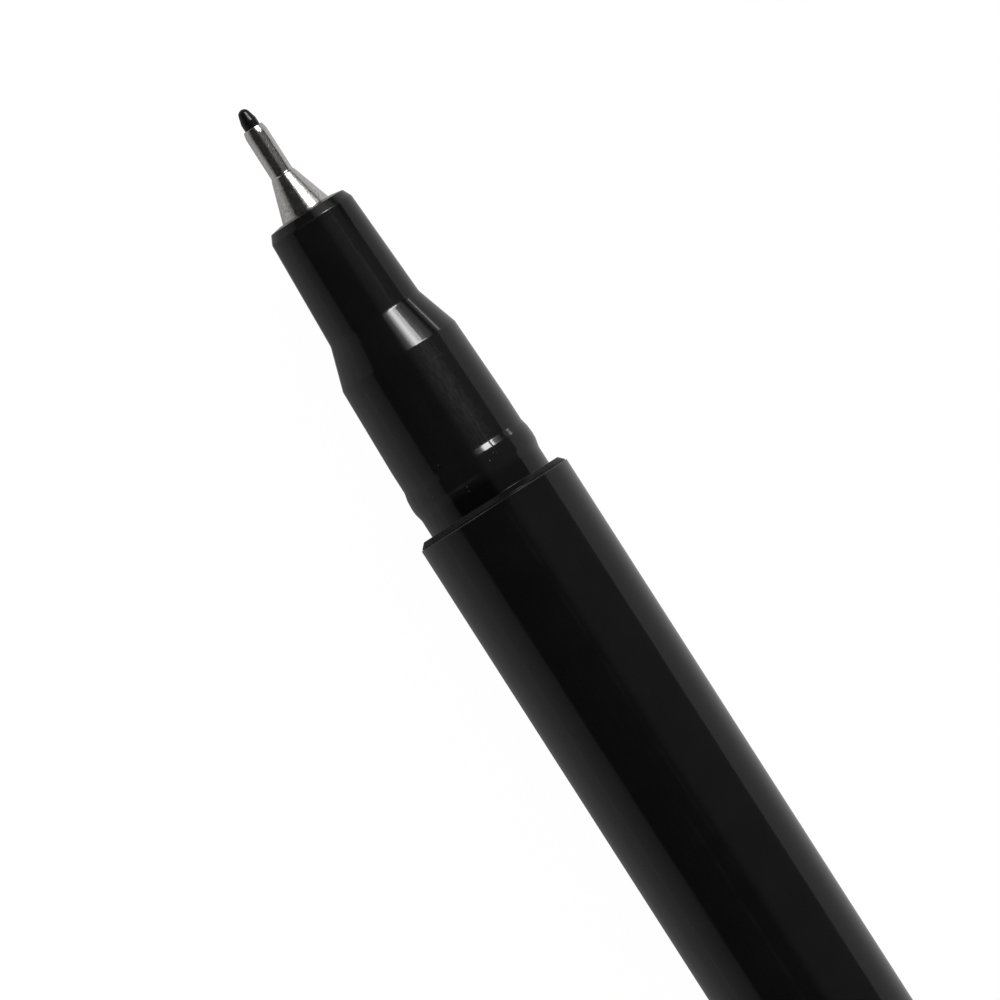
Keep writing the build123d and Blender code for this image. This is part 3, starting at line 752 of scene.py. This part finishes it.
shell_corners = [
    (cap_mouth, CAP_BORE_RADIUS + CAP_LEAD_IN, EDGE_ROUNDING),
    (cap_mouth, BARREL_RADIUS - CAP_RIM_DROP, EDGE_ROUNDING),
    (cap_mouth - CAP_RIM_DEPTH, BARREL_RADIUS, CAP_RIM_ROUNDING),
    (shell_end, BARREL_RADIUS, EDGE_ROUNDING),
    (shell_end, CAP_BORE_RADIUS, 0),
    (rib_middle - rib_foot, CAP_BORE_RADIUS, 0),
    (rib_middle - SNAP_RIB_CREST / 2, SNAP_RIB_RADIUS, 0),
    (rib_middle + SNAP_RIB_CREST / 2, SNAP_RIB_RADIUS, 0),
    (rib_middle + rib_foot, CAP_BORE_RADIUS, 0),
    (cap_mouth - CAP_LEAD_IN, CAP_BORE_RADIUS, 0),
]
# The clip is on the side that is CLIP_ROLL round from straight down: this turns a tool from the top to there.
TO_CLIP = pi - CLIP_ROLL


def clip_notch(back):
    """A tool for the notch at the shell's closed end, from back to the notch's floor."""
    half = CLIP_WIDTH / 2 + NOTCH_SIDE_CLEARANCE
    return block((back, -half, NOTCH_FLOOR), (shell_end + NOTCH_DEPTH, half, 2 * BARREL_RADIUS))


cap_black = black_plastic("cap_black", draw_lines=[(radians(-24), -90, -40)])
shell = turn("cap_shell_moulding", shell_corners, cap_black)
tooled(shell, cutting, clip_notch(shell_end - NOTCH_DEPTH), 1, TO_CLIP)
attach(shell, "cap")
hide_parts("cap_shell")

# Inner cap
# A cup of milky soft plastic held in the cap shell by six ribs.
# When the pen is closed its lip seals on the snout, so that the nib can't dry.
INNER_CAP_RADIUS = 3.6 * MM
SOCKET_RADIUS = 3.0 * MM
SEAL_LIP_RADIUS = 2.93 * MM
SEAL_LIP_LENGTH = 0.6 * MM
SOCKET_FLOOR = 1.0 * MM
RIB_COUNT = 6
RIB_WIDTH = 0.8 * MM
RIB_REACH = 4.15 * MM
RIB_ROOT_RADIUS = 3.3 * MM
RIB_SETBACK = 2.0 * MM
inner_low, inner_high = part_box("inner_cap")
inner_back, inner_mouth = inner_low.x, inner_high.x


def milky_plastic(name):
    """Natural soft plastic: off-white, faintly clouded, with a waxy surface."""
    material, shader, wire = start_material(name)
    spot, along, around, out = turned_place(wire)
    cloud = wire.noise(spot, 500, 4.0)
    colour = wire.blend(cloud, (0.60, 0.60, 0.57, 1), (0.74, 0.74, 0.71, 1))
    relief = wire.relief(cloud, 0.006 * MM)
    feed(shader, base_color=colour, roughness=cloud * 0.15 + 0.30, normal=relief)
    return material


inner_corners = [
    (inner_mouth, SEAL_LIP_RADIUS, EDGE_ROUNDING),
    (inner_mouth, INNER_CAP_RADIUS, EDGE_ROUNDING),
    (inner_back, INNER_CAP_RADIUS, EDGE_ROUNDING),
    (inner_back, 0, 0),
    (inner_back + SOCKET_FLOOR, 0, 0),
    (inner_back + SOCKET_FLOOR, SOCKET_RADIUS, 0),
    (inner_mouth - 2 * SEAL_LIP_LENGTH, SOCKET_RADIUS, 0),
    (inner_mouth - SEAL_LIP_LENGTH, SEAL_LIP_RADIUS, 0),
]
inner = turn("inner_cap_moulding", inner_corners, milky_plastic("liner_milky"), sides=192)
inner_rib = block(
    (inner_back, -RIB_WIDTH / 2, RIB_ROOT_RADIUS),
    (inner_mouth - RIB_SETBACK, RIB_WIDTH / 2, RIB_REACH),
)
tooled(inner, joining, inner_rib, RIB_COUNT, TO_CLIP)
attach(inner, "cap")
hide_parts("inner_cap")

# Cap crown
# The end plug of the cap, black like the shell and pressed into it over the clip's tab.
# Three curved slots through its end let air pass if the cap is swallowed.
CROWN_ROUNDING = 0.7 * MM
SPIGOT_RADIUS = 4.18 * MM
SPIGOT_BORE_RADIUS = 3.2 * MM
SLOT_COUNT = 3
SLOT_CIRCLE_RADIUS = 2.4 * MM
SLOT_WIDTH = 0.9 * MM
SLOT_SPAN = radians(50)
SLOT_STEPS = 12
crown_low, crown_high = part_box("cap_crown")
crown_end, spigot_end = crown_low.x, crown_high.x
crown_corners = [
    (shell_end, 0, 0),
    (shell_end, SPIGOT_BORE_RADIUS, 0),
    (spigot_end, SPIGOT_BORE_RADIUS, 0),
    (spigot_end, SPIGOT_RADIUS, EDGE_ROUNDING),
    (shell_end, SPIGOT_RADIUS, 0),
    (shell_end, BARREL_RADIUS, EDGE_ROUNDING),
    (crown_end, BARREL_RADIUS, CROWN_ROUNDING),
    (crown_end, 0, 0),
]


def air_slot():
    """A tool for one slot: round-ended, bent along its circle, and long enough to go through the
    crown's end."""
    middle, half = SLOT_CIRCLE_RADIUS, SLOT_WIDTH / 2
    rim = []
    for radius, first, last in ((middle + half, -0.5, 0.5), (middle - half, 0.5, -0.5)):
        for step in range(SLOT_STEPS + 1):
            angle = SLOT_SPAN * (first + (last - first) * step / SLOT_STEPS)
            rim.append((radius * sin(angle), radius * cos(angle)))
        end = SLOT_SPAN * last
        outward = 1 if last > 0 else -1
        for step in range(1, SLOT_STEPS):
            turn_by = pi * step / SLOT_STEPS
            reach = half * sin(turn_by) * outward
            lift = middle + (half if last > 0 else -half) * cos(turn_by)
            rim.append((lift * sin(end) + reach * cos(end), lift * cos(end) - reach * sin(end)))
    faces_x = (2 * crown_end - shell_end, shell_end + (shell_end - crown_end) / 2)
    work = bmesh.new()
    rings = [[work.verts.new((x, y, z)) for y, z in rim] for x in faces_x]
    for i in range(len(rim)):
        work.faces.new((rings[0][i - 1], rings[0][i], rings[1][i], rings[1][i - 1]))
    for ring in rings:
        work.faces.new(ring)
    bmesh.ops.recalc_face_normals(work, faces=work.faces)
    mesh = bpy.data.meshes.new("tool")
    work.to_mesh(mesh)
    work.free()
    return new_object("tool", mesh)


crown = turn("cap_crown_moulding", crown_corners, black_plastic("crown_black"))
tooled(crown, cutting, air_slot(), SLOT_COUNT, TO_CLIP + pi)
tooled(crown, cutting, clip_notch(shell_end), 1, TO_CLIP)
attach(crown, "cap")
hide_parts("cap_crown")

# Clip
# A strip of bright spring steel, blanked and bent: its root tab is trapped between the shell and the crown.
# The strip lies along the cap, touches it at a knuckle and turns up at its rounded tip.
CLIP_THICKNESS = 0.5 * MM
CLIP_EDGE = 0.09 * MM
CLIP_ROOT_GAP = 0.35 * MM
CLIP_TAB_DEPTH = 3.4 * MM
CLIP_BEND_HEIGHT = 6.60 * MM
CLIP_BEND_RADIUS = 0.8 * MM
CLIP_KNUCKLE_PLACE = 8.8 * MM
CLIP_KNUCKLE_HEIGHT = 5.32 * MM
CLIP_KNUCKLE_RADIUS = 2.5 * MM
CLIP_TIP_PLACE = 5.6 * MM
CLIP_TIP_HEIGHT = 6.05 * MM
CLIP_TIP_ROUNDING = 1.2 * MM
CLIP_EDGE_STEPS = 5
CLIP_TIP_STEPS = 12
CLIP_PITCH = 0.6 * MM
clip_outward = Vector((0, -sin(CLIP_ROLL), -cos(CLIP_ROLL)))
clip_sideways = Vector((1, 0, 0)).cross(clip_outward)


def spring_steel(name):
    """Rolled strip: fine grain along its length, a soft shine, and a little wear."""
    material, shader, wire = start_material(name)
    spot = wire.node("ShaderNodeTexCoord", output="Object")
    split = wire.node("ShaderNodeSeparateXYZ", {}, {0: spot})
    drawn_out = wire.vector(split.out("X") * 60, split.out("Y") * 9000, split.out("Z") * 9000)
    grain = wire.noise(drawn_out, 1.0, 3.0)
    cloud = wire.noise(spot, 420, 4.0)
    colour = wire.blend(grain * 0.6 + cloud * 0.4, (0.52, 0.515, 0.50, 1), (0.74, 0.735, 0.72, 1))
    rough = grain * 0.12 + cloud * 0.10 + 0.14
    relief = wire.relief(grain, 0.004 * MM)
    feed(shader, base_color=colour, metallic=1.0, roughness=rough, normal=relief)
    return material


def strip_section(half_width):
    """The strip's cross-section: a rectangle with rounded edges, as (sideways, outward) points."""
    points = []
    for quarter, (side, lift) in enumerate(((1, 1), (-1, 1), (-1, -1), (1, -1))):
        centre = (side * (half_width - CLIP_EDGE), lift * (CLIP_THICKNESS / 2 - CLIP_EDGE))
        for step in range(CLIP_EDGE_STEPS + 1):
            angle = pi / 2 * (quarter + step / CLIP_EDGE_STEPS)
            points.append((centre[0] + CLIP_EDGE * cos(angle), centre[1] + CLIP_EDGE * sin(angle)))
    return points


tab_place = shell_end + CLIP_ROOT_GAP
clip_line = rounded_outline(
    [
        (tab_place, CLIP_TAB_DEPTH, 0),
        (tab_place, CLIP_BEND_HEIGHT, CLIP_BEND_RADIUS),
        (cap_mouth - CLIP_KNUCKLE_PLACE, CLIP_KNUCKLE_HEIGHT, CLIP_KNUCKLE_RADIUS),
        (cap_mouth - CLIP_TIP_PLACE, CLIP_TIP_HEIGHT, 0),
    ],
    closed=False,
    pitch=CLIP_PITCH,
)
clip_tip = clip_line[-1]
tip_run = (clip_tip - clip_line[-2]).normalized()
clip_line = [p for p in clip_line if (clip_tip - p).length > CLIP_TIP_ROUNDING]
for step in range(CLIP_TIP_STEPS + 1):
    from_tip = CLIP_TIP_ROUNDING * (1 - sin(pi / 2 * step / CLIP_TIP_STEPS))
    clip_line.append(clip_tip - tip_run * from_tip)
work = bmesh.new()
rings = []
for i, point in enumerate(clip_line):
    ahead = (clip_line[min(i + 1, len(clip_line) - 1)] - clip_line[max(i - 1, 0)]).normalized()
    lift = Vector((-ahead.y, ahead.x))
    short = CLIP_TIP_ROUNDING - min((clip_tip - point).length, CLIP_TIP_ROUNDING)
    half_width = CLIP_WIDTH / 2 - CLIP_TIP_ROUNDING + sqrt(CLIP_TIP_ROUNDING**2 - short**2)
    ring = []
    for side, out in strip_section(half_width):
        flat = point + lift * out
        ring.append(work.verts.new(Vector((flat.x, 0, 0)) + clip_outward * flat.y + clip_sideways * side))
    rings.append(ring)
for first, second in zip(rings, rings[1:]):
    for i in range(len(first)):
        work.faces.new((first[i - 1], first[i], second[i], second[i - 1]))
work.faces.new(rings[0])
work.faces.new(rings[-1])
clip_mesh = bpy.data.meshes.new("clip_strip")
work.to_mesh(clip_mesh)
work.free()
clip = make_plain(new_object("clip_strip", clip_mesh), spring_steel("clip_rolled_steel"))
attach(clip, "clip")
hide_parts("clip")

# Studio
# The pen lies on a white sheet whose far edge curls up a little. A softbox with a hot middle stands ahead of
# its right side, a white card along its left side, and two white slips and a dark card close to the nose.
# The room is dim overhead, with a weak glow on the right and pale walls beyond both ends of the pen.
TABLE = -BARREL_RADIUS
SHEET_REACH = 3.0
SHEET_FAR_EDGE = 0.30
SHEET_CURL_REACH = 0.05
SHEET_CURL = 0.0245
SHEET_CURL_STEPS = 6
SOFTBOX_DISTANCE = 0.8
SOFTBOX_WIDTH = 1.06
SOFTBOX_HEIGHT = 0.672
SOFTBOX_RADIANCE = 17.0
CARD_DISTANCE = 1.0
STEP_SLIP_RADIANCE = 7.0
BEAD_SLIP_RADIANCE = 6.0
SLIP_GRID = radians(24)
DARK_CARD_DISTANCE = 40 * MM
RIGHT_GLOW = 0.100
OVERHEAD_GLOW = 0.017
ROOM_FILL = 0.5


def white_sheet():
    """The sheet: white to the camera, with a faint shadow, and pale grey in the pen's reflections. There
    its glow is painted: brighter on the pen's lit side, a painted shadow on the other beside nose and
    barrel, and painted dark ahead of the point on the right."""
    material = bpy.data.materials.new("white_sheet")
    material.use_nodes = True
    tree = material.node_tree
    tree.nodes.clear()
    wire = Wire(tree)
    path = wire.node("ShaderNodeLightPath", output="Is Camera Ray")
    spot = wire.node("ShaderNodeTexCoord", output="Object")
    split = wire.node("ShaderNodeSeparateXYZ", {}, {0: spot})
    ahead, beside = split.out("X") * (1 / MM), split.out("Y") * (1 / MM)
    # Painted light for reflections only: a lit side, a painted shadow beside nose and barrel, and a painted
    # dark patch ahead of the point.
    lit_side = beside.rise(5, -5) * 0.075 + beside.bell(-9, 7) * 0.09 + beside.rise(-290, -340) * 0.07
    shadow_side = (beside.bell(8, 5) * 0.09 + beside.bell(6, 1) * 0.10) * ahead.rise(65.5, 62.5)
    painted_dark_ahead = (ahead - 82 + (beside + 28) * 0.4035).rise(-8, 8) * beside.rise(0, -10)
    pale = (lit_side - shadow_side + 0.32) * (1 - painted_dark_ahead * 0.85)
    mirrored = path.out("Is Glossy Ray") + path.out("Is Transmission Ray")
    seen = path * 0.98 + mirrored * pale
    glow = wire.node("ShaderNodeEmission", {}, {"Color": wire.vector(seen, seen, seen), "Strength": 1.0})
    paper = wire.node("ShaderNodeBsdfDiffuse", {}, {"Color": grey(0.04)})
    both = wire.node("ShaderNodeAddShader", {}, {0: glow, 1: paper})
    leave = tree.nodes.new("ShaderNodeOutputMaterial")
    tree.links.new(both.socket, leave.inputs["Surface"])
    return material


work = bmesh.new()
curl = [(SHEET_REACH, TABLE), (-SHEET_FAR_EDGE, TABLE)]
for step in range(1, SHEET_CURL_STEPS + 1):
    share = step / SHEET_CURL_STEPS
    curl.append((-SHEET_FAR_EDGE - SHEET_CURL_REACH * share, TABLE + SHEET_CURL * share**2))
edges = [[work.verts.new((x, y, z)) for y, z in curl] for x in (SHEET_REACH, -SHEET_REACH)]
for i in range(len(curl) - 1):
    work.faces.new((edges[0][i], edges[1][i], edges[1][i + 1], edges[0][i + 1]))
bmesh.ops.recalc_face_normals(work, faces=work.faces)
sheet_mesh = bpy.data.meshes.new("white_sheet")
work.to_mesh(sheet_mesh)
work.free()
sheet_mesh.materials.append(white_sheet())
new_object("white_sheet", sheet_mesh)


def lamp(name, direction, across, width, height, distance, glow, aim=(0.05, 0, 0), spread=pi):
    """An area lamp that faces a point on the nose from a direction, with its width along across; width
    and height are for a distance of 1. The glow gives its radiance from the place on it, 0 to 1 along
    its width and its height. A small spread is a grid on the lamp: its light then goes straight ahead
    only, and is as bright there."""
    light = bpy.data.lights.new(name, "AREA")
    light.shape = "RECTANGLE"
    light.size = width * distance
    light.size_y = height * distance
    light.energy = pi * light.size * light.size_y
    if spread < pi:
        light.spread = spread
        light.energy *= 1 - spread / 2 / tan(spread / 2)
    light.use_nodes = True
    wire = Wire(light.node_tree)
    place = wire.node("ShaderNodeNewGeometry", output="Parametric")
    split = wire.node("ShaderNodeSeparateXYZ", {}, {0: place})
    radiance = glow(split.out("X"), split.out("Y"))
    colour = wire.vector(radiance, radiance, radiance)
    light.node_tree.links.new(colour.socket, light.node_tree.nodes["Emission"].inputs["Color"])
    made = new_object(name, light)
    back = Vector(direction).normalized()
    right = Vector(across)
    right = (right - back * right.dot(back)).normalized()
    up = back.cross(right)
    turn_to = Matrix((right, up, back)).transposed()
    made.matrix_world = Matrix.Translation(Vector(aim) + back * distance) @ turn_to.to_4x4()
    made.visible_camera = False


def softbox_glow(across, up):
    """A hot middle with a sharp right edge and a left edge that blurs upwards, on a weak uneven shelf."""
    u, v = across * SOFTBOX_WIDTH - 0.50, up * SOFTBOX_HEIGHT - 0.112
    lean = v + 0.046
    from_middle = u - 0.007 + lean * 0.38
    leftwards = from_middle / (lean * 0.31 - 0.185)
    blur = u.math("MAXIMUM", lean * 4 + 0.24, 0.05)
    hot = leftwards.rise(blur + 1, 1 - blur) * from_middle.rise(0.232 - lean * 0.32, 0.193 - lean * 0.32)
    dim_corner = from_middle.rise(-0.01, 0.06) * lean.rise(0.03, 0.08) * 0.42
    hot = hot * (1 - dim_corner) * (1 - lean) * v.rise(0.30, 0.20)
    shelf = u.bell(-0.08, 0.30) * 0.55 + u.bell(0.30, 0.10) * (0.9 - lean * 5.5) * v.rise(0.10, 0.0) + 0.45
    shelf = shelf - u.bell(0.42, 0.13) * lean.bell(0.13, 0.05) * 0.28
    shelf = shelf * u.rise(-0.49, -0.38) * u.rise(0.55, 0.47) * (1 - v.rise(0.28, 0.36) * 0.45)
    return hot * SOFTBOX_RADIANCE + shelf


lamp(
    "softbox",
    direction=(0.6435, -0.6263, 0.4938),
    across=(-0.0985, -0.7037, -0.7037),
    width=SOFTBOX_WIDTH,
    height=SOFTBOX_HEIGHT,
    distance=SOFTBOX_DISTANCE,
    glow=softbox_glow,
)
# The white card is brighter towards the sheet.
lamp(
    "left_card",
    direction=(0.05, 0.967, 0.254),
    across=(1, 0, 0),
    width=2.4,
    height=0.638,
    distance=CARD_DISTANCE,
    glow=lambda across, down: down * 0.20 + 0.135,
)
# The two slips give the thin line on the nose's step and the dot on its bead.
lamp(
    "step_slip",
    direction=(0.390, -0.906, -0.163),
    across=(2.7, 0, -0.6),
    width=0.08,
    height=0.035,
    distance=0.042,
    glow=lambda across, up: STEP_SLIP_RADIANCE,
    aim=(0.0537, -0.0025, 0.00234),
    spread=SLIP_GRID,
)
lamp(
    "bead_slip",
    direction=(0.285, -0.951, -0.150),
    across=(1, 0, 0),
    width=0.075,
    height=0.11,
    distance=0.040,
    glow=lambda across, up: BEAD_SLIP_RADIANCE,
    aim=(0.0447, -0.00305, 0.00283),
    spread=SLIP_GRID,
)

# The dark card stands to the right of the point and draws the dark line along the sleeve.
dark_finish, dark_shader = start_material("dark_card")[:2]
feed(dark_shader, base_color=grey(0.01), roughness=0.9)
card_bottom = [(63.5, 2), (69, 2), (71, 3), (95, 3)]
card_top = [(95, 5), (84, 5), (71, 6.5), (69, 12), (63.5, 13)]
card_corners = [(x * MM, -DARK_CARD_DISTANCE, z * MM) for x, z in card_bottom + card_top]
card_mesh = bpy.data.meshes.new("dark_card")
card_mesh.from_pydata(card_corners, [], [range(len(card_corners))])
card_mesh.materials.append(dark_finish)
dark_card = new_object("dark_card", card_mesh)
dark_card.visible_camera = False
dark_card.visible_shadow = False

# The camera sees the room as white, and reflections see its dim ceiling, the glow and the walls.
world = bpy.data.worlds.new("dim_room")
bpy.context.scene.world = world
world.use_nodes = True
sky = Wire(world.node_tree)
ray = sky.node("ShaderNodeLightPath", output="Is Camera Ray")
way = sky.node("ShaderNodeTexCoord", output="Generated")
split = sky.node("ShaderNodeSeparateXYZ", {}, {0: way})
ahead, side, high = split.out("X"), split.out("Y"), split.out("Z")
mirrored = ray.out("Is Glossy Ray") + ray.out("Is Transmission Ray")
tail_wall = ahead.rise(-0.46, -0.64)
nose_wall = ahead.rise(0.76, 0.86) * high.rise(0.38, 0.28) * 0.5
walls = (tail_wall + nose_wall) * high.rise(0.50, 0.02)
reflected = side.rise(-0.20, -0.45) * RIGHT_GLOW + walls + OVERHEAD_GLOW
room = mirrored * reflected + (1 - mirrored) * ROOM_FILL
backdrop = world.node_tree.nodes["Background"]
tint = sky.blend(ray, sky.vector(room, room, room), grey(1.0))
world.node_tree.links.new(tint.socket, backdrop.inputs["Color"])
backdrop.inputs["Strength"].default_value = 1.0

# Camera
# It looks straight down on the nose through a long lens, as a camera on a copy stand does.
# It is turned so that the pen points to the upper left.
CAMERA_HEIGHT = 1600 * MM
CAMERA_PLACE = (42.19 * MM, -0.4505 * MM)
PEN_TURN = (-0.5392, 0.8422)
LENS = 991.5
SENSOR = 36.0
camera_data = bpy.data.cameras.new("camera")
camera_data.lens = LENS
camera_data.sensor_width = SENSOR
camera_data.clip_start = 5 * MM
camera = new_object("camera", camera_data)
picture_right = Vector((PEN_TURN[0], -PEN_TURN[1], 0))
picture_up = Vector((PEN_TURN[1], PEN_TURN[0], 0))
camera.matrix_world = (
    Matrix.Translation((*CAMERA_PLACE, CAMERA_HEIGHT))
    @ Matrix((picture_right, picture_up, (0, 0, 1))).transposed().to_4x4()
)
bpy.context.scene.camera = camera
bpy.context.scene.view_settings.view_transform = "Standard"
